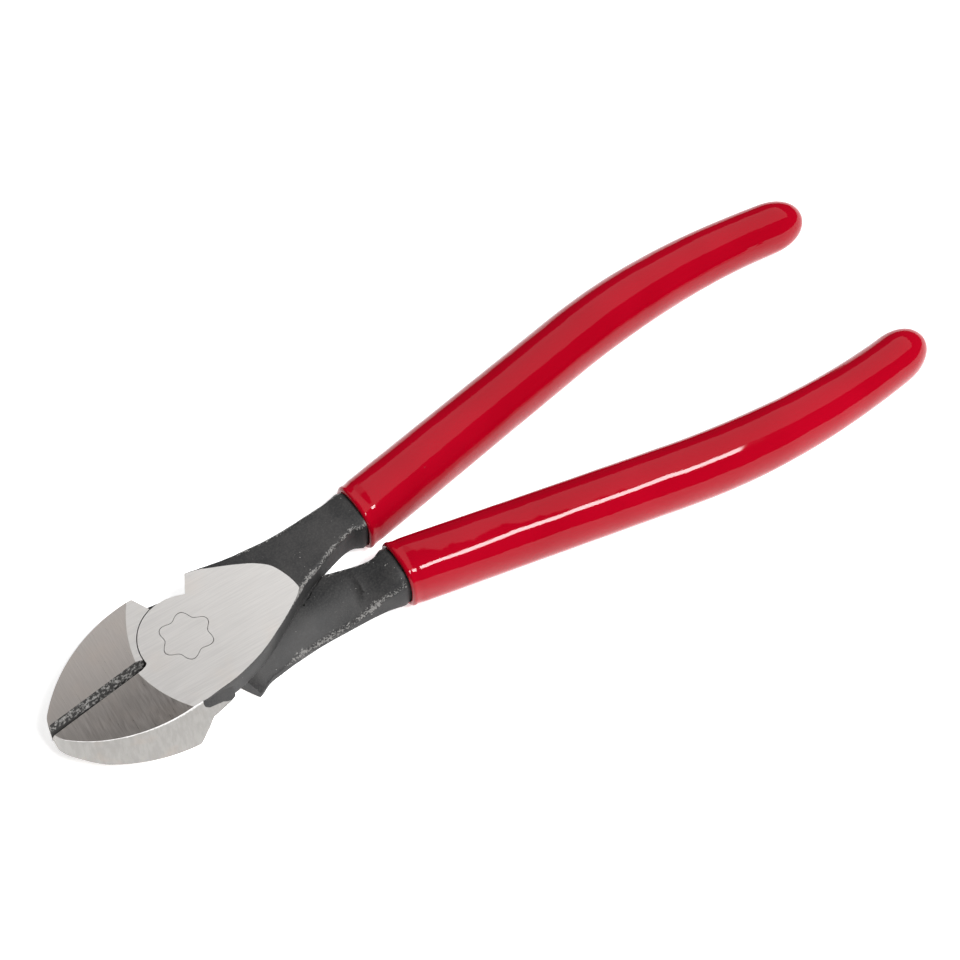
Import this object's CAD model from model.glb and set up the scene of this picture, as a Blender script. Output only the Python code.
"""Diagonal cutting pliers: two forgings, a lobed rivet and two dipped grips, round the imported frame.

Shapes are worked out in millimetres in one half's own frame: X along the tool, the lap plane at z = 0 and the
half's ground face at z = HALF. The rear half is built the same way, with an upright jaw wall and a few
measures of its own, and is then turned half a turn about X.
"""

import math

import bpy
import numpy as np
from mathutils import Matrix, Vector


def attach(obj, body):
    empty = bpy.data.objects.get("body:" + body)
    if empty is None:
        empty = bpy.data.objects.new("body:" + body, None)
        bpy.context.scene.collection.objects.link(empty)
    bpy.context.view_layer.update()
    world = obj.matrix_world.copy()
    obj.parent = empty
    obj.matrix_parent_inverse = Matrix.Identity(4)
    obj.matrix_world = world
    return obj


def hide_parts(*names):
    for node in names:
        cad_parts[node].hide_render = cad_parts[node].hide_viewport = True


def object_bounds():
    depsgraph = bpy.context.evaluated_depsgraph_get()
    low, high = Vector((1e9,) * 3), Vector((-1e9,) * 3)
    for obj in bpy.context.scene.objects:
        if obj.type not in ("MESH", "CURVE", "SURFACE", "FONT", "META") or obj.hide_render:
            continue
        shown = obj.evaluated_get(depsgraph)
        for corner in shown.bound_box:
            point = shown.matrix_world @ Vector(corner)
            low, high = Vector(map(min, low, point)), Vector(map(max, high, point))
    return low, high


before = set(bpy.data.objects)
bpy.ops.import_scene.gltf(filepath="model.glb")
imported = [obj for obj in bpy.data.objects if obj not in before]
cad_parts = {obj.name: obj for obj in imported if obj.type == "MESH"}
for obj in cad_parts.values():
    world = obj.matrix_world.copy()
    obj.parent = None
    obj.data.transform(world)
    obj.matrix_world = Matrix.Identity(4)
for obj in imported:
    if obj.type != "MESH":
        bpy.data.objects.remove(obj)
cad_low, cad_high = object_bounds()

MM = 0.001
HALF = 5.8

# ---------------------------------------------------------------- measures of one half

SEAT_RADIUS = 9.5
LAP_GAP = 0.05
SEAT_GAP = 0.2
SHOULDER_ANGLE = 61.5
JAW_TURN = 4.0
EDGE_GAP = 0.04
TIP_X = -31.6
FRONT_RIDGE = (-5.77, 18.52, 32.69)
REAR_RIDGE = (-6.58, 18.03, 31.6)
FRONT_BEVEL = (14.83, 0.78, 26.92)
REAR_BEVEL = (19.17, 6.17, 31.1)
BEVEL_FALL = 0.145
WALL_LEAN = 0.16
WALL_BULGE = 0.35
BACK_LEAN = 0.6
BACK_POINT = (-2.17, -9.2)
BACK_NORMAL = (0.932, -0.363)
FRONT_BACK_SHIFT = 5.0
REAR_BACK_SHIFT = 1.5
TIP_ROUND = 1.4
WALL_EDGE_ROUND = 0.3
CUTTING_FACE_WIDTH = 1.2
CUTTING_LAND = 0.2
CUTTING_START_X = -11.8
CUTTING_START_REACH = 2.4

LOBE_COUNT = 6
LOBE_MEAN = 4.85
LOBE_DEPTH = 0.6
LOBE_PHASE = math.radians(13.3)
RIVET_GAP = 0.07
RIVET_SHANK = 4.0
RIVET_HEAD = 5.2
COUNTERSINK = 1.4

MOUTH = (43.8, 8.2)
SPLAY = math.radians(11.2)
STRAIGHT = 61.4
BEND = 170.0
GRIP_LENGTH = 126.5
GRIP_HEIGHT = 1.06
GRIP_WALL = 1.3
RIM_SLANT = 0.17
RIM_REACH = 0.55
BEAD_RADIUS = 0.72
CAP_START = GRIP_LENGTH - 9
CAP_DEPTH = 8.4
HOLLOW_END = 113.0

TANG_SIZE = 4.72
TANG_POWER = 2.6
TANG_START = -8
TANG_CUT_X = 54
TANG_FILLET = 2.4

FIELD_LOW = (-32.6, -18.2, -6.4)
FIELD_HIGH = (55.4, 14.6, 6.4)
CELL = 0.38
FLATTEST = 0.0012

CAMERA_AZIMUTH = math.radians(-34.12)
CAMERA_ELEVATION = math.radians(55.45)
CAMERA_DISTANCE = 0.51235
CAMERA_LENS = 93.75
CAMERA_TARGET = (69.9, 1.71, HALF)

# ---------------------------------------------------------------- small field tools


def round_max(a, b, radius):
    """Where two solids meet, with the edge between them rounded to that radius."""
    u = np.maximum(a + radius, 0)
    v = np.maximum(b + radius, 0)
    return np.minimum(np.maximum(a, b), -radius) + np.sqrt(u * u + v * v)


def blend_min(a, b, reach):
    """Two solids joined, with a fillet of that reach."""
    share = np.clip(0.5 + 0.5 * (b - a) / reach, 0, 1)
    return b * (1 - share) + a * share - reach * share * (1 - share)


def smoothstep(low, high, x):
    t = np.clip((x - low) / (high - low), 0, 1)
    return t * t * (3 - 2 * t)


def closed_curve(points, steps=10):
    """A smooth closed line through the points."""
    p = np.array(points, float)
    out = []
    for i in range(len(p)):
        a, b, c, d = (p[(i + k) % len(p)] for k in (-1, 0, 1, 2))
        t = (np.arange(steps) / steps)[:, None]
        curve = 2 * b + (c - a) * t + (2 * a - 5 * b + 4 * c - d) * t**2 + (3 * b - a - 3 * c + d) * t**3
        out.append(0.5 * curve)
    return np.concatenate(out)


class Outline:
    """The signed distance to a closed line in plan, negative inside, kept on a fine grid."""

    STEP = 0.25
    LOW = (-36.0, -22.0)
    HIGH = (62.0, 22.0)

    def __init__(self, points):
        line = closed_curve(points)
        xs, ys = (np.arange(a, b, self.STEP) for a, b in zip(self.LOW, self.HIGH))
        x, y = np.meshgrid(xs, ys, indexing="ij")
        best = np.full(x.shape, 1e9)
        inside = np.zeros(x.shape, bool)
        for (ax, ay), (bx, by) in zip(line, np.roll(line, -1, 0)):
            dx, dy = bx - ax, by - ay
            t = np.clip(((x - ax) * dx + (y - ay) * dy) / (dx * dx + dy * dy), 0, 1)
            best = np.minimum(best, (x - ax - t * dx) ** 2 + (y - ay - t * dy) ** 2)
            if ay != by:
                inside ^= ((ay > y) != (by > y)) & (x < ax + (y - ay) * dx / dy)
        self.grid = np.where(inside, -1, 1) * np.sqrt(best)

    def __call__(self, x, y):
        x, y = np.broadcast_arrays(x, y)
        total = 0
        parts = []
        for value, low, size in zip((x, y), self.LOW, self.grid.shape):
            g = np.clip((value - low) / self.STEP, 1, size - 3.001)
            i = g.astype(int)
            t = g - i
            w = (
                0.5 * (-t + 2 * t**2 - t**3),
                0.5 * (2 - 5 * t**2 + 3 * t**3),
                0.5 * (t + 4 * t**2 - 3 * t**3),
                0.5 * (t**3 - t**2),
            )
            parts.append((i, w))
        (i, wi), (j, wj) = parts
        for a in range(4):
            row = 0
            for b in range(4):
                row = row + wj[b] * self.grid[i + a - 1, j + b - 1]
            total = total + wi[a] * row
        return total


# The whole forging in plan, widest at its parting line. Towards the jaw it runs inside other metal.
FORGING = Outline([
    (-1.5, 13.2), (3, 13.6), (6.9, 12.75), (11.5, 11.95), (15.5, 11.3), (19.5, 11.0), (25, 10.85),
    (31, 11.15), (36.5, 11.8), (40.5, 12.5), (42.4, 12.6), (43.6, 10.9), (44.1, 8.2), (44.2, 5.4),
    (43.6, 3.5), (42.4, 2.75), (41.3, 3.1), (40.2, 3.4), (37, 2.35), (33.2, 0.75), (29.3, -0.95),
    (25.3, -2.75), (21.3, -5.35), (16.2, -8.35), (10.2, -11.4), (4, -13.3), (-0.6, -13.95),
    (-4.4, -14.35), (-7.2, -13.2), (-9.0, -9.6), (-9.3, -5.0), (-9.0, -1.0), (-6, 6), (-4.5, 11),
])
# Inside this line the face is ground flat; outside it the forged skin shows.
GROUND_LEAF = Outline([
    (4.0, 14.5), (7.1, 13.0), (10.6, 11.4), (14.9, 9.45), (17.5, 8.1), (19.7, 6.75), (22.0, 4.5),
    (23.35, 1.2), (23.9, -1.8), (23.75, -3.9), (22.9, -5.6), (20.5, -7.9), (16, -11.8), (10, -14.4),
    (4, -16.2), (-5, -17.5), (-18, -18), (-32, -18), (-33, 0), (-32, 17), (-15, 18), (-3, 17.5),
])


def handle_axis(s):
    """Points on the handle's middle line and its heading, s millimetres past the grip's mouth."""
    s = np.asarray(s, float)
    along = np.minimum(s, STRAIGHT)
    heading = SPLAY - np.maximum(s - STRAIGHT, 0) / BEND
    x = MOUTH[0] + along * math.cos(SPLAY) + BEND * (math.sin(SPLAY) - np.sin(heading))
    y = MOUTH[1] + along * math.sin(SPLAY) + BEND * (np.cos(heading) - math.cos(SPLAY))
    return x, y, heading


def lobed(x, y, grow=0.0):
    """Roughly the distance outside the rivet's six-lobed outline."""
    r = np.hypot(x, y)
    edge = LOBE_MEAN + LOBE_DEPTH * np.cos(LOBE_COUNT * (np.arctan2(y, x) - LOBE_PHASE))
    return (r - edge - grow) * 0.9


# The surfaces of a half. The first six are also its material slots.
PLATE, BEVEL, WALL, STRIP, FORGED, SEAT, CLEARANCE, HOLE, SHOULDER = range(9)


class Half:
    """The surfaces of one half as fields in its own frame, and how they make up the solid."""

    def __init__(self, turn, front):
        self.cos = math.cos(math.radians(turn))
        self.sin = math.sin(math.radians(turn))
        self.turn = turn
        self.front = front
        self.ridge = FRONT_RIDGE if front else REAR_RIDGE
        self.cone = FRONT_BEVEL if front else REAR_BEVEL

    def jaw_frame(self, x, y):
        return x * self.cos + y * self.sin, y * self.cos - x * self.sin

    def sector(self, x, y, turn):
        """Positive in the notch between the stop shoulder and the cutting line."""
        a = math.radians(SHOULDER_ANGLE)
        b = math.radians(180 + turn)
        past_shoulder = y * math.cos(a) - x * math.sin(a)
        above_edge = x * math.sin(b) - y * math.cos(b)
        return np.minimum(past_shoulder, above_edge)

    def plate_face(self, x, y, z):
        return np.abs(z) - HALF + 0 * x + 0 * y

    def bevel_height(self, u, v):
        """The ground face falls evenly from an arc across the jaw."""
        x, y, radius = self.cone
        return HALF - BEVEL_FALL * (np.hypot(u - x, v - y) - radius)

    def bevel(self, x, y, z):
        return np.abs(z) - self.bevel_height(*self.jaw_frame(x, y))

    def wall(self, x, y, z):
        u, v = self.jaw_frame(x, y)
        shift = FRONT_BACK_SHIFT if self.front else REAR_BACK_SHIFT
        back = (u - BACK_POINT[0]) * BACK_NORMAL[0] + (v - BACK_POINT[1]) * BACK_NORMAL[1]
        back = back - shift * smoothstep(0.02, 0.9, z)
        if self.front:
            back = back + BACK_LEAN * np.maximum(-z, 0)
        side = round_max(self.jaw_side(u, v, z), TIP_X - u, TIP_ROUND)
        return round_max(side, back, WALL_EDGE_ROUND)

    def jaw_side(self, u, v, z):
        """The turned outer wall, full at mid height but flush with the plate where the two meet."""
        x, y, radius = self.ridge
        bulge = WALL_BULGE * (1 - (z / HALF) ** 2)
        if self.front:
            bulge = bulge + WALL_LEAN * (4.4 - z) * smoothstep(-32, -25, u)
        return np.hypot(u - x, v - y) - radius - bulge

    def strip(self, x, y, z):
        u, v = self.jaw_frame(x, y)
        rise = np.maximum(np.abs(z) - CUTTING_LAND, 0) / (self.bevel_height(u, 0) - CUTTING_LAND)
        past_start = np.clip((u - CUTTING_START_X) / CUTTING_START_REACH, 0, 1)
        width = (CUTTING_FACE_WIDTH - EDGE_GAP) * np.sqrt(1 - past_start**2)
        return v + EDGE_GAP + width * rise

    def forged_faces(self, x, y, z):
        """The side, the top and the underside of the forging, before their edges are rounded."""
        draft = 0.09 * np.sqrt((z - 4.8) ** 2 + 1) - 0.09
        side = FORGING(x, y) + draft
        if not self.front:
            swell = 0.35 * smoothstep(9, 14, x) * (1 - smoothstep(28, 36, x))
            swell = swell + 1.3 * np.exp(-(((x - 7.4) / 2.6) ** 2)) * smoothstep(0.5, 3.5, z)
            inset = 0.5 * smoothstep(5, 9, -y) * (1 - smoothstep(8, 14, x))
            side = side - swell * smoothstep(5, 9, y) + inset
        leaf = GROUND_LEAF(x, y)
        skin = 0.42 * (1 - np.exp(-np.maximum(leaf, 0) / 2.5)) + 0.012 * np.maximum(leaf, 0)
        top = z - HALF + np.where(leaf > 0, skin, 0.17 * leaf) + 0.7 * smoothstep(32, 42, x)
        ramp = LAP_GAP + 0.2 * smoothstep(12, 17, x) - 5.2 * smoothstep(19, 50, x) ** 1.2
        low = np.clip((y - 3.5) / 8.5, 0, 1.3)
        crown = (3.6 + 0.8 * smoothstep(18, 28, x) - 3.2 * smoothstep(33, 43, x)) * low**1.7
        outer = smoothstep(2, 10, x)
        return side, top, ramp + crown * outer - z

    def forged(self, x, y, z):
        side, top, under = self.forged_faces(x, y, z)
        body = round_max(side, top, 0.5 + 0.4 * smoothstep(16, 30, x))
        body = round_max(body, under, 0.12 + 0.6 * smoothstep(12, 24, x))
        return blend_min(body, self.tang(x, y, z), TANG_FILLET)

    def tang(self, x, y, z):
        """The bar that runs on into the grip and ends a short way inside it."""
        along = (x - MOUTH[0]) * math.cos(SPLAY) + (y - MOUTH[1]) * math.sin(SPLAY)
        aside = (y - MOUTH[1]) * math.cos(SPLAY) - (x - MOUTH[0]) * math.sin(SPLAY)
        r = (np.abs(aside) ** TANG_POWER + np.abs(z / GRIP_HEIGHT) ** TANG_POWER) ** (1 / TANG_POWER)
        size = TANG_SIZE - 3.2 * (1 - smoothstep(-9, -0.5, along))
        return np.maximum(r - size, np.maximum(TANG_START - along, x - TANG_CUT_X))

    def seat(self, x, y, z):
        """The round boss: this half's part of the lap joint."""
        return np.maximum(np.hypot(x, y) - SEAT_RADIUS, LAP_GAP - z)

    def clearance(self, x, y, z):
        """The room the other half takes: its own plan, behind the lap plane."""
        boss = np.hypot(x, y) - SEAT_RADIUS
        rest = np.maximum(FORGING(x, -y), self.sector(x, -y, -self.turn))
        plan = np.minimum(boss, rest) - SEAT_GAP
        return -np.maximum(z - LAP_GAP, plan)

    def hole(self, x, y, z):
        if self.front:
            return -lobed(x, y, RIVET_GAP) + 0 * z
        r = np.hypot(x, y)
        cone = RIVET_SHANK + (z - HALF + COUNTERSINK) * (RIVET_HEAD - RIVET_SHANK) / COUNTERSINK
        return np.maximum(cone, RIVET_SHANK) + RIVET_GAP - r

    def shoulder(self, x, y, z):
        return self.sector(x, y, self.turn) + 0 * z

    LEAVES = {
        PLATE: plate_face, BEVEL: bevel, WALL: wall, STRIP: strip, FORGED: forged, SEAT: seat,
        CLEARANCE: clearance, HOLE: hole, SHOULDER: shoulder,
    }

    def __call__(self, x, y, z):
        """The solid's value and the leaf that sets it."""
        def meet(a, b, sign=1):
            pick = sign * a[0] > sign * b[0]
            return np.where(pick, a[0], b[0]), np.where(pick, a[1], b[1])

        def join(a, b):
            return meet(a, b, -1)

        leaf = {k: (field(self, x, y, z), np.int8(k)) for k, field in self.LEAVES.items()}
        jaw = meet(meet(leaf[STRIP], leaf[WALL]), leaf[BEVEL])
        plate = join(meet(leaf[FORGED], leaf[SHOULDER]), leaf[SEAT])
        body = join(plate, jaw)
        body = meet(body, leaf[PLATE])
        body = meet(body, leaf[CLEARANCE])
        return meet(body, leaf[HOLE])


SLOT_OF_LEAF = {leaf: leaf for leaf in (PLATE, BEVEL, WALL, STRIP, FORGED, SEAT)}
SLOT_OF_LEAF.update({CLEARANCE: SEAT, HOLE: SEAT, SHOULDER: FORGED})

# ---------------------------------------------------------------- fields to meshes


def gradient(field, p, step=2e-3):
    """The field's unit normals at the points."""
    out = np.empty_like(p)
    for axis in range(3):
        d = np.zeros(3)
        d[axis] = step
        a, b = p + d, p - d
        out[:, axis] = field(a[:, 0], a[:, 1], a[:, 2]) - field(b[:, 0], b[:, 1], b[:, 2])
    return out / np.maximum(np.linalg.norm(out, axis=1, keepdims=True), 1e-12)


def contour(solid, low, high, cell):
    """A quad mesh of the solid's surface, one point in each cell it crosses, set where the faces meet."""
    value_of = lambda x, y, z: solid(x, y, z)[0]
    axes = [np.arange(a, b + cell, cell) for a, b in zip(low, high)]
    value = value_of(axes[0][:, None, None], axes[1][None, :, None], axes[2][None, None, :])
    inside = value < 0
    rings, points, normals = [], [], []
    for axis in range(3):
        u, w = (axis + 1) % 3, (axis + 2) % 3
        here = tuple(slice(0, -1) if k == axis else slice(1, -1) for k in range(3))
        there = tuple(slice(1, None) if k == axis else slice(1, -1) for k in range(3))
        index = np.argwhere(inside[here] != inside[there])
        index[:, u] += 1
        index[:, w] += 1
        after = index.copy()
        after[:, axis] += 1
        start = np.stack([axes[k][index[:, k]] for k in range(3)], 1)
        va, vb = value[tuple(index.T)], value[tuple(after.T)]
        a, b = np.zeros(len(index)), np.ones(len(index))
        for turn in range(7):
            t = (a + b) / 2 if turn % 2 else a + (b - a) * np.clip(va / (va - vb), 0.02, 0.98)
            p = start.copy()
            p[:, axis] += t * cell
            vt = value_of(*p.T)
            same = (vt < 0) == (va < 0)
            a, va = np.where(same, t, a), np.where(same, vt, va)
            b, vb = np.where(same, b, t), np.where(same, vb, vt)
        p = start.copy()
        p[:, axis] += (a + (b - a) * np.clip(va / (va - vb), 0, 1)) * cell
        points.append(p)
        normals.append(gradient(value_of, p))
        ring = []
        for du, dw in ((-1, -1), (0, -1), (0, 0), (-1, 0)):
            c = index.copy()
            c[:, u] += du
            c[:, w] += dw
            ring.append(np.ravel_multi_index(tuple(c.T), value.shape))
        ring = np.stack(ring, 1)
        outward = inside[tuple(index.T)]
        rings.append(np.where(outward[:, None], ring, ring[:, ::-1]))
    ring, point, normal = np.concatenate(rings), np.concatenate(points), np.concatenate(normals)
    cells, inverse = np.unique(ring.ravel(), return_inverse=True)
    inverse = inverse.ravel()
    count = np.bincount(inverse)

    def gather(per_edge):
        return np.bincount(inverse, weights=np.repeat(per_edge, 4))

    centre = np.stack([gather(point[:, k]) for k in range(3)], 1) / count[:, None]
    square = np.empty((len(cells), 3, 3))
    for i in range(3):
        for j in range(3):
            square[:, i, j] = gather(normal[:, i] * normal[:, j])
    plane = (normal * point).sum(1)
    aim = np.stack([gather(normal[:, k] * plane) for k in range(3)], 1)
    aim -= np.einsum("nij,nj->ni", square, centre)
    size, axes_of = np.linalg.eigh(square)
    worth = size > FLATTEST * size[:, 2:]
    scaled = np.einsum("nji,nj->ni", axes_of, aim) * np.where(worth, 1 / np.maximum(size, 1e-12), 0)
    move = np.einsum("nij,nj->ni", axes_of, scaled)
    corner = np.stack(np.unravel_index(cells, value.shape), 1) * cell + np.array([a[0] for a in axes])
    vertex = np.clip(centre + move, corner - 0.02 * cell, corner + 1.02 * cell)
    return vertex, inverse.reshape(-1, 4)


def forging_mesh(name, half, flip):
    """One forging as a mesh, with each face's own normals and material, and the materials' masks."""
    vertex, quads = contour(half, FIELD_LOW, FIELD_HIGH, CELL)
    middle = vertex[quads].mean(1)
    _, leaf = half(*middle.T)
    leaf = np.broadcast_to(leaf, len(quads))
    corner_normals = np.empty((len(quads), 4, 3))
    for k in np.unique(leaf):
        mine = leaf == k
        used, where = np.unique(quads[mine], return_inverse=True)
        field = half.LEAVES[k]
        n = gradient(lambda x, y, z, f=field: f(half, x, y, z), vertex[used])
        corner_normals[mine] = n[where.ravel()].reshape(-1, 4, 3)
    slots = np.array([SLOT_OF_LEAF[k] for k in leaf])
    slots[(leaf == CLEARANCE) & (middle[:, 0] > 13)] = FORGED
    masks = half_masks(half, vertex)
    sign = np.array([1, -1, -1]) if flip else np.ones(3)
    placed = (vertex * sign + (0, 0, HALF)) * MM
    mesh = bpy.data.meshes.new(name)
    mesh.vertices.add(len(placed))
    mesh.vertices.foreach_set("co", placed.astype(np.float32).ravel())
    mesh.loops.add(quads.size)
    mesh.loops.foreach_set("vertex_index", quads.astype(np.int32).ravel())
    mesh.polygons.add(len(quads))
    mesh.polygons.foreach_set("loop_start", np.arange(0, quads.size, 4, dtype=np.int32))
    mesh.polygons.foreach_set("material_index", slots.astype(np.int32))
    mesh.update(calc_edges=True)
    mesh.validate()
    if len(mesh.polygons) == len(quads):
        mesh.normals_split_custom_set((corner_normals * sign).reshape(-1, 3).tolist())
    for key, values in masks.items():
        attribute = mesh.attributes.new(key, "FLOAT", "POINT")
        attribute.data.foreach_set("value", values.astype(np.float32))
    return place(name, mesh)


def half_masks(half, p):
    """Signed distances in millimetres that the materials turn into crisp borders."""
    x, y, z = p.T
    u, v = half.jaw_frame(x, y)
    below_bevel = np.minimum(np.abs(z), HALF) - np.minimum(half.bevel_height(u, v), HALF)
    ridge = np.hypot(half.jaw_side(u, v, z), below_bevel)
    ridge /= 0.45 + 0.75 * smoothstep(-27, -8, x)
    ridge = np.where((z > 0) == half.front, ridge, 9.0)
    border = 3.4 - 0.32 * (x + 4.4) - 0.45 * np.maximum(x + 1, 0)
    band = np.minimum(round_max(border - z, -4.7 - x, 1.2), 3.4 - x)
    if not half.front:
        band = np.where(z > 0, np.minimum(band, -2.6 - u), band)
    a, b, c = half.forged_faces(x, y, z)
    rub = np.minimum(np.hypot(a, b), np.hypot(a, c)) - 0.35 + 3 * (1 - smoothstep(7, 18, x))
    depth = np.abs(z) / np.maximum(half.bevel_height(u, 0), 1) + 0.012 * (u + 20)
    return {"ridge": ridge, "band": band, "rub": rub, "depth": depth}


def place(name, data):
    thing = bpy.data.objects.new(name, data)
    bpy.context.scene.collection.objects.link(thing)
    return thing


def loft(name, rings, flip=False, sharp_angle=40):
    """A closed skin over rings of equally many points; the first and last rings close on their middles."""
    rings = np.asarray(rings, float)
    count = rings.shape[1]
    points = [rings[0].mean(0), *rings.reshape(-1, 3), rings[-1].mean(0)]
    around = np.arange(count)
    after = (around + 1) % count
    faces = [(0, 1 + b, 1 + a) for a, b in zip(around, after)]
    for i in range(len(rings) - 1):
        base = 1 + i * count
        for a, b in zip(around, after):
            faces.append((base + a, base + b, base + count + b, base + count + a))
    last = len(points) - 1
    base = last - count
    faces += [(base + a, base + b, last) for a, b in zip(around, after)]
    points = np.array(points)
    if flip:
        points = points * (1, -1, -1)
    points = (points + (0, 0, HALF)) * MM
    mesh = bpy.data.meshes.new(name)
    mesh.from_pydata(points.tolist(), [], faces)
    mesh.update()
    mesh.shade_smooth()
    mesh.set_sharp_from_angle(angle=math.radians(sharp_angle))
    return place(name, mesh)


# ---------------------------------------------------------------- grips


def grip_radius(s):
    """The grip's half width, s millimetres past its mouth."""
    return 6.55 - 0.25 * np.exp(-s / 8) - 1.1 * smoothstep(70, GRIP_LENGTH - 4, s)


def grip_ring(s, radius, count, power):
    """One ring of the grip, square to the handle; near the mouth it slants with the dip line."""
    angle = 2 * math.pi * np.arange(count) / count
    c, d = np.cos(angle), np.sin(angle)
    scale = radius / (np.abs(c) ** power + np.abs(d) ** power) ** (1 / power)
    x, y, heading = handle_axis(s)
    aside = scale * c
    height = scale * d * GRIP_HEIGHT
    if s < 40:
        slip = (RIM_SLANT * aside - RIM_REACH) * math.exp(-max(s, 0) / 8)
        x, y = x + slip * np.cos(heading), y + slip * np.sin(heading)
    return np.stack([x - aside * np.sin(heading), y + aside * np.cos(heading), height], 1)


def grip_mesh(name, flip):
    """The hollow from its bottom to the mouth, the rolled lip, the outside and the rounded end."""
    count = 80
    rings = []
    for s in np.linspace(HOLLOW_END, 2.4, 24):
        rings.append(grip_ring(s, grip_radius(s) - GRIP_WALL, count, section_power(s)))
    lip_middle = grip_radius(0.0) - GRIP_WALL / 2 + 0.06
    for a in np.linspace(0, math.pi, 11):
        radius = lip_middle - (GRIP_WALL / 2 + 0.02) * math.cos(a)
        rings.append(grip_ring(BEAD_RADIUS * (1 - math.sin(a)), radius, count, section_power(0)))
    for s in np.concatenate([np.linspace(1.0, 3.2, 6), np.linspace(4.0, CAP_START, 90)]):
        dip = -0.10 * math.exp(-(((s - 1.9) / 0.7) ** 2))
        rings.append(grip_ring(s, grip_radius(s) + dip, count, section_power(s)))
    for a in np.linspace(0, math.pi / 2, 12)[1:]:
        s = CAP_START + CAP_DEPTH * math.sin(a)
        shrink = max(math.cos(a), 0.0) ** 0.92
        rings.append(grip_ring(s, grip_radius(CAP_START) * max(shrink, 0.02), count, 2.1))
    return loft(name, rings, flip)


def section_power(s):
    """How square the grip's section is: squarer at the mouth, nearly round further on."""
    return 2.12 + 0.45 * math.exp(-s / 14)


# ---------------------------------------------------------------- rivet


def rivet_mesh():
    count = 144
    angle = 2 * math.pi * np.arange(count) / count

    def lobed_ring(offset, z, scale=1.0):
        r = (LOBE_MEAN + LOBE_DEPTH * np.cos(LOBE_COUNT * (angle - LOBE_PHASE)) + offset) * scale
        return np.stack([r * np.cos(angle), r * np.sin(angle), np.full(count, z)], 1)

    def round_ring(r, z):
        return np.stack([r * np.cos(angle), r * np.sin(angle), np.full(count, z)], 1)

    rings = [lobed_ring(0, HALF, k) for k in (0.25, 0.5, 0.75, 0.95)]
    rings += [lobed_ring(-0.06, HALF), lobed_ring(-RIVET_GAP, HALF - 0.06), lobed_ring(-RIVET_GAP, 3.0)]
    rings += [lobed_ring(-RIVET_GAP, LAP_GAP + 0.02), round_ring(RIVET_SHANK - 0.02, LAP_GAP)]
    rings += [round_ring(RIVET_SHANK - 0.02, COUNTERSINK - HALF)]
    rings += [round_ring(RIVET_HEAD - 0.06, 0.06 - HALF), round_ring(RIVET_HEAD - 0.12, -HALF)]
    rings += [round_ring(RIVET_HEAD * k, -HALF) for k in (0.75, 0.5, 0.25)]
    return loft("rivet", rings[::-1], sharp_angle=20)


# ---------------------------------------------------------------- materials


class Shader:
    """A material under construction: each call adds a node and gives back its first output."""

    def __init__(self, name):
        self.material = bpy.data.materials.new(name)
        self.material.use_nodes = True
        self.tree = self.material.node_tree
        self.main = self.tree.nodes["Principled BSDF"]
        self.position = self.add("ShaderNodeTexCoord").node.outputs["Object"]

    def add(self, kind, inputs=(), **settings):
        node = self.tree.nodes.new(kind)
        for key, value in settings.items():
            setattr(node, key, value)
        for key, value in dict(inputs).items():
            self.feed(node.inputs[key], value)
        return node.outputs[0]

    def feed(self, socket, value):
        if isinstance(value, bpy.types.NodeSocket):
            self.tree.links.new(value, socket)
        else:
            socket.default_value = value

    def set(self, **values):
        for key, value in values.items():
            self.feed(self.main.inputs[key.replace("_", " ")], value)

    def math(self, operation, a, b=0.0, c=0.0, clamp=False):
        return self.add("ShaderNodeMath", {0: a, 1: b, 2: c}, operation=operation, use_clamp=clamp)

    def stretched(self, scale, turn=0.0):
        """Object coordinates in millimetres, turned about Z, times a scale for each axis."""
        vector = self.position
        if turn:
            about_z = (0, 0, math.radians(turn))
            vector = self.add("ShaderNodeMapping", {"Vector": vector, "Rotation": about_z})
        return self.add("ShaderNodeMapping", {"Vector": vector, "Scale": tuple(k / MM for k in scale)})

    def noise(self, scale, detail=3.0, rough=0.55, turn=0.0):
        inputs = {"Vector": self.stretched(scale, turn), "Scale": 1.0, "Detail": detail, "Roughness": rough}
        return self.add("ShaderNodeTexNoise", inputs)

    def ramp(self, value, low, high, a=0.0, b=1.0):
        """Maps low..high to a..b, held at both ends, with a smooth change."""
        node = self.add("ShaderNodeMapRange", {"Value": value, "From Min": low, "From Max": high}).node
        node.interpolation_type = "SMOOTHSTEP"
        self.feed(node.inputs["To Min"], a)
        self.feed(node.inputs["To Max"], b)
        return node.outputs["Result"]

    def mix(self, share, a, b):
        node = self.add("ShaderNodeMix", data_type="RGBA").node
        for socket, value in ((node.inputs[0], share), (node.inputs[6], a), (node.inputs[7], b)):
            self.feed(socket, value)
        return node.outputs[2]

    def attribute(self, name):
        node = self.add("ShaderNodeAttribute", attribute_name=name).node
        return node.outputs["Fac"]

    def bump(self, height, distance, strength=1.0):
        inputs = {"Height": height, "Distance": distance * MM, "Strength": strength}
        return self.add("ShaderNodeBump", inputs)


def srgb(r, g, b):
    """A colour given as screen values from 0 to 255."""
    channel = lambda c: c / 12.92 if c <= 0.04045 else ((c + 0.055) / 1.055) ** 2.4
    return (*(channel(c / 255) for c in (r, g, b)), 1.0)


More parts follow.
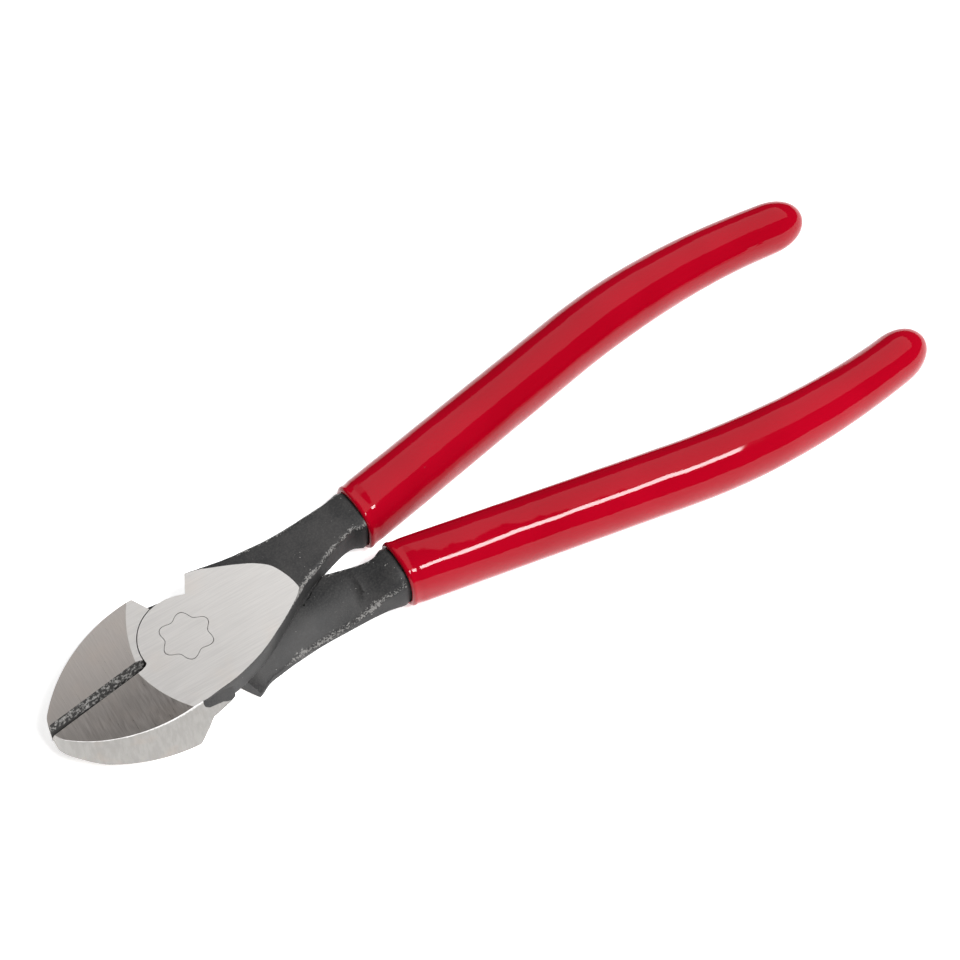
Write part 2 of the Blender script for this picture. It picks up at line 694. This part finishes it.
def ground_steel(name, light, dark, streak_turn, roughness, streak=0.10, bump=0.004):
    """Steel ground in one direction, with faint warm stains."""
    m = Shader(name)
    fine = m.noise((0.16, 7.0, 7.0), 3, 0.6, streak_turn)
    broad = m.noise((0.10, 2.4, 2.4), 3, 0.6, streak_turn)
    stain = m.noise((0.12, 0.12, 0.12), 3, 0.55)
    lines = m.math("ADD", m.math("MULTIPLY", fine, 0.6), m.math("MULTIPLY", broad, 0.4))
    share = m.ramp(lines, 0.5 - streak, 0.5 + streak)
    colour = m.mix(share, dark, light)
    warm = tuple(c * k for c, k in zip(light, (1.02, 0.955, 0.90, 1)))
    colour = m.mix(m.ramp(stain, 0.48, 0.72, 0.0, 0.33), colour, warm)
    rough = m.ramp(lines, 0.3, 0.7, roughness - 0.05, roughness + 0.06)
    m.set(Base_Color=colour, Metallic=1.0, Roughness=rough, Normal=m.bump(lines, bump))
    return m.material


def blend(m, share, a, b):
    """Two finishes, each a colour with a metalness and a roughness, mixed on one shader."""
    colour = m.mix(share, a[0], b[0])
    metal = m.ramp(share, 0, 1, a[1], b[1])
    rough = m.ramp(share, 0, 1, a[2], b[2])
    return colour, metal, rough


def skin_finish(m):
    """Black forged scale with fine grain, tiny bright specks and rubbed ridges."""
    grain = m.noise((2.6, 2.6, 2.6), 4, 0.65)
    cloud = m.noise((0.14, 0.14, 0.14), 3, 0.55)
    colour = m.mix(m.ramp(cloud, 0.35, 0.68), srgb(36, 36, 37), srgb(50, 49, 49))
    colour = m.mix(m.ramp(grain, 0.35, 0.75, 0.0, 0.35), colour, srgb(84, 83, 81))
    speck = m.noise((1.7, 1.7, 1.7), 2, 0.5)
    colour = m.mix(m.ramp(speck, 0.72, 0.78, 0.0, 0.6), colour, srgb(180, 178, 174))
    worn = m.math("ADD", m.attribute("rub"), m.ramp(grain, 0.35, 0.65, 0.8, 0.0))
    patch = m.noise((0.3, 0.3, 0.3), 2, 0.5)
    worn = m.ramp(m.math("ADD", worn, m.ramp(patch, 0.35, 0.6, 0.45, 0.0)), 0.4, 0.75, 1.0, 0.0)
    colour = m.mix(m.math("MULTIPLY", worn, 0.5), colour, srgb(160, 158, 155))
    height = m.math("ADD", grain, m.math("MULTIPLY", cloud, 3.0))
    return (colour, 0.0, m.ramp(grain, 0.3, 0.7, 0.5, 0.65)), height


def wall_finish(m):
    """Ground steel with a white rubbed line along the ridge."""
    lines = m.noise((1.2, 1.2, 0.22), 3, 0.6)
    stain = m.noise((0.18, 0.18, 0.18), 3, 0.5)
    colour = m.mix(m.ramp(lines, 0.35, 0.65), srgb(144, 142, 139), srgb(152, 150, 147))
    colour = m.mix(m.ramp(stain, 0.52, 0.75, 0.0, 0.5), colour, srgb(158, 148, 140))
    wobble = m.noise((1.6, 1.6, 1.6), 3, 0.6)
    from_ridge = m.math("ADD", m.attribute("ridge"), m.math("MULTIPLY", wobble, 0.9))
    rubbed = m.ramp(from_ridge, 0.55, 0.95, 1.0, 0.0)
    colour = m.mix(rubbed, colour, srgb(214, 213, 211))
    return (colour, 1.0, m.ramp(rubbed, 0, 1, 0.42, 0.34)), lines


def side_steel(name):
    """Skin and ground wall on one surface, parted by the crisp edge where grinding stopped."""
    m = Shader(name)
    skin, grain = skin_finish(m)
    wall, lines = wall_finish(m)
    wobble = m.noise((0.9, 0.9, 0.9), 2, 0.5)
    border = m.math("ADD", m.attribute("band"), m.math("MULTIPLY", m.math("SUBTRACT", wobble, 0.5), 0.35))
    share = m.ramp(border, -0.05, 0.05)
    colour, metal, rough = blend(m, share, skin, wall)
    m.set(Base_Color=colour, Metallic=metal, Roughness=rough, Specular_IOR_Level=0.3)
    m.set(Normal=m.bump(m.math("ADD", grain, m.math("MULTIPLY", lines, 0.2)), 0.025))
    return m.material


def cutting_steel(name, dark, light):
    """The steep face beside the edge: hardened, dark and speckled."""
    m = Shader(name)
    speck = m.noise((1.5, 1.5, 1.5), 3, 0.65)
    shown = m.math("MULTIPLY", m.ramp(speck, 0.46, 0.66), m.ramp(m.attribute("depth"), 0.30, 0.42))
    colour = m.mix(shown, dark, light)
    m.set(Base_Color=colour, Metallic=0.2, Roughness=0.5)
    m.set(Normal=m.bump(speck, 0.03))
    return m.material


def red_vinyl():
    """Dipped vinyl: deep glossy red, a little wavy, with a few faint pimples."""
    m = Shader("dipped_vinyl")
    cloud = m.noise((0.05, 0.05, 0.05), 2, 0.5)
    colour = m.mix(m.ramp(cloud, 0.35, 0.7), srgb(152, 1, 23), srgb(158, 2, 26))
    wave = m.noise((0.09, 0.09, 0.09), 2, 0.4)
    cells = m.add("ShaderNodeTexVoronoi", {"Vector": m.stretched((0.16, 0.16, 0.16)), "Scale": 1.0})
    pimple = m.ramp(cells, 0.0, 0.055, 1.0, 0.0)
    height = m.math("ADD", wave, m.math("MULTIPLY", pimple, 0.12))
    m.set(Base_Color=colour, Metallic=0.0, Roughness=0.06, IOR=1.29)
    m.set(Normal=m.bump(height, 0.35))
    return m.material


# ---------------------------------------------------------------- build the pieces

PLATE_STEEL = ground_steel("ground_face", srgb(238, 235, 232), srgb(228, 225, 222), 0, 0.36, 0.16, 0.003)
BEVEL_STEEL = ground_steel("ground_bevel", srgb(206, 199, 194), srgb(192, 185, 180), 92, 0.32, 0.16, 0.002)
REAR_STRIP = cutting_steel("rear_cutting_face", srgb(72, 71, 70), srgb(186, 184, 181))
FRONT_STRIP = cutting_steel("front_cutting_face", srgb(34, 34, 34), srgb(58, 58, 57))
SIDE_STEEL = side_steel("jaw_wall_and_skin")
SEAT_STEEL = ground_steel("joint_steel", srgb(188, 186, 183), srgb(168, 166, 163), 0, 0.42)
VINYL = red_vinyl()


def dress(thing, body, node, slot, *materials):
    for material in materials:
        thing.data.materials.append(material)
    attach(thing, body)
    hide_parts(node)


# In the order of the material slots: plate, bevel, wall, strip, forged skin and seat.
FRONT_MATERIALS = (PLATE_STEEL, BEVEL_STEEL, SIDE_STEEL, FRONT_STRIP, SIDE_STEEL, SEAT_STEEL)
REAR_MATERIALS = (PLATE_STEEL, BEVEL_STEEL, SIDE_STEEL, REAR_STRIP, SIDE_STEEL, SEAT_STEEL)
front_forging = forging_mesh("front_forging", Half(JAW_TURN, True), False)
rear_forging = forging_mesh("rear_forging", Half(-JAW_TURN, False), True)
dress(front_forging, "front_handle", "front_half", "forged_steel", *FRONT_MATERIALS)
dress(rear_forging, "rear_handle", "rear_half", "forged_steel", *REAR_MATERIALS)
dress(rivet_mesh(), "front_handle", "pivot_rivet", "rivet_steel", PLATE_STEEL)
dress(grip_mesh("front_vinyl", False), "front_handle", "front_grip", "red_vinyl", VINYL)
dress(grip_mesh("rear_vinyl", True), "rear_handle", "rear_grip", "red_vinyl", VINYL)

# ---------------------------------------------------------------- floor, light and camera


def floor():
    size = 3.0
    z = cad_low.z - 0.0005
    mesh = bpy.data.meshes.new("floor")
    corners = [(-size, -size, z), (size, -size, z), (size, size, z), (-size, size, z)]
    mesh.from_pydata(corners, [], [(0, 1, 2, 3)])
    thing = place("floor", mesh)
    m = Shader("floor_paper")
    m.set(Base_Color=(0.9, 0.9, 0.9, 1), Roughness=0.9, Emission_Color=(1, 1, 1, 1), Emission_Strength=0.6)
    mesh.materials.append(m.material)


def panel(x, y, z, size, radiance):
    """A soft box that faces straight down, as bright as it looks from below."""
    data = bpy.data.lights.new("panel", "AREA")
    data.shape = "RECTANGLE"
    data.size, data.size_y = size
    data.energy = radiance * math.pi * size[0] * size[1]
    thing = place("panel", data)
    thing.location = (x, y, z)
    thing.rotation_euler = Vector((0, 0, -z)).to_track_quat("-Z", "Y").to_euler()
    return thing


def sky():
    world = bpy.data.worlds.new("studio")
    world.use_nodes = True
    world.node_tree.nodes["Background"].inputs[0].default_value = (1, 1, 1, 1)
    world.node_tree.nodes["Background"].inputs[1].default_value = 0.06
    bpy.context.scene.world = world


def camera():
    back = Vector((
        math.sin(CAMERA_AZIMUTH) * math.cos(CAMERA_ELEVATION),
        -math.cos(CAMERA_AZIMUTH) * math.cos(CAMERA_ELEVATION),
        math.sin(CAMERA_ELEVATION),
    ))
    data = bpy.data.cameras.new("camera")
    data.sensor_width = 36
    data.lens = CAMERA_LENS
    data.clip_start, data.clip_end = 0.01, 20
    thing = place("camera", data)
    thing.location = Vector(CAMERA_TARGET) * MM + back * CAMERA_DISTANCE
    thing.rotation_euler = back.to_track_quat("Z", "Y").to_euler()
    bpy.context.scene.camera = thing


floor()
sky()
camera()
# Plain white: the Standard transform keeps the pale floor white and the red saturated.
bpy.context.scene.view_settings.view_transform = "Standard"
panel(0.9, 0.35, 1.0, (1.2, 1.6), 1.32)
panel(-0.1, 1.02, 1.0, (0.8, 0.9), 0.85)
panel(0.25, -0.6, 1.0, (0.5, 0.3), 42.0)
# A weak fill over everything, kept out of the reflections.
fill = panel(0.1, 0.0, 1.6, (3.0, 3.0), 0.12)
fill.visible_glossy = False
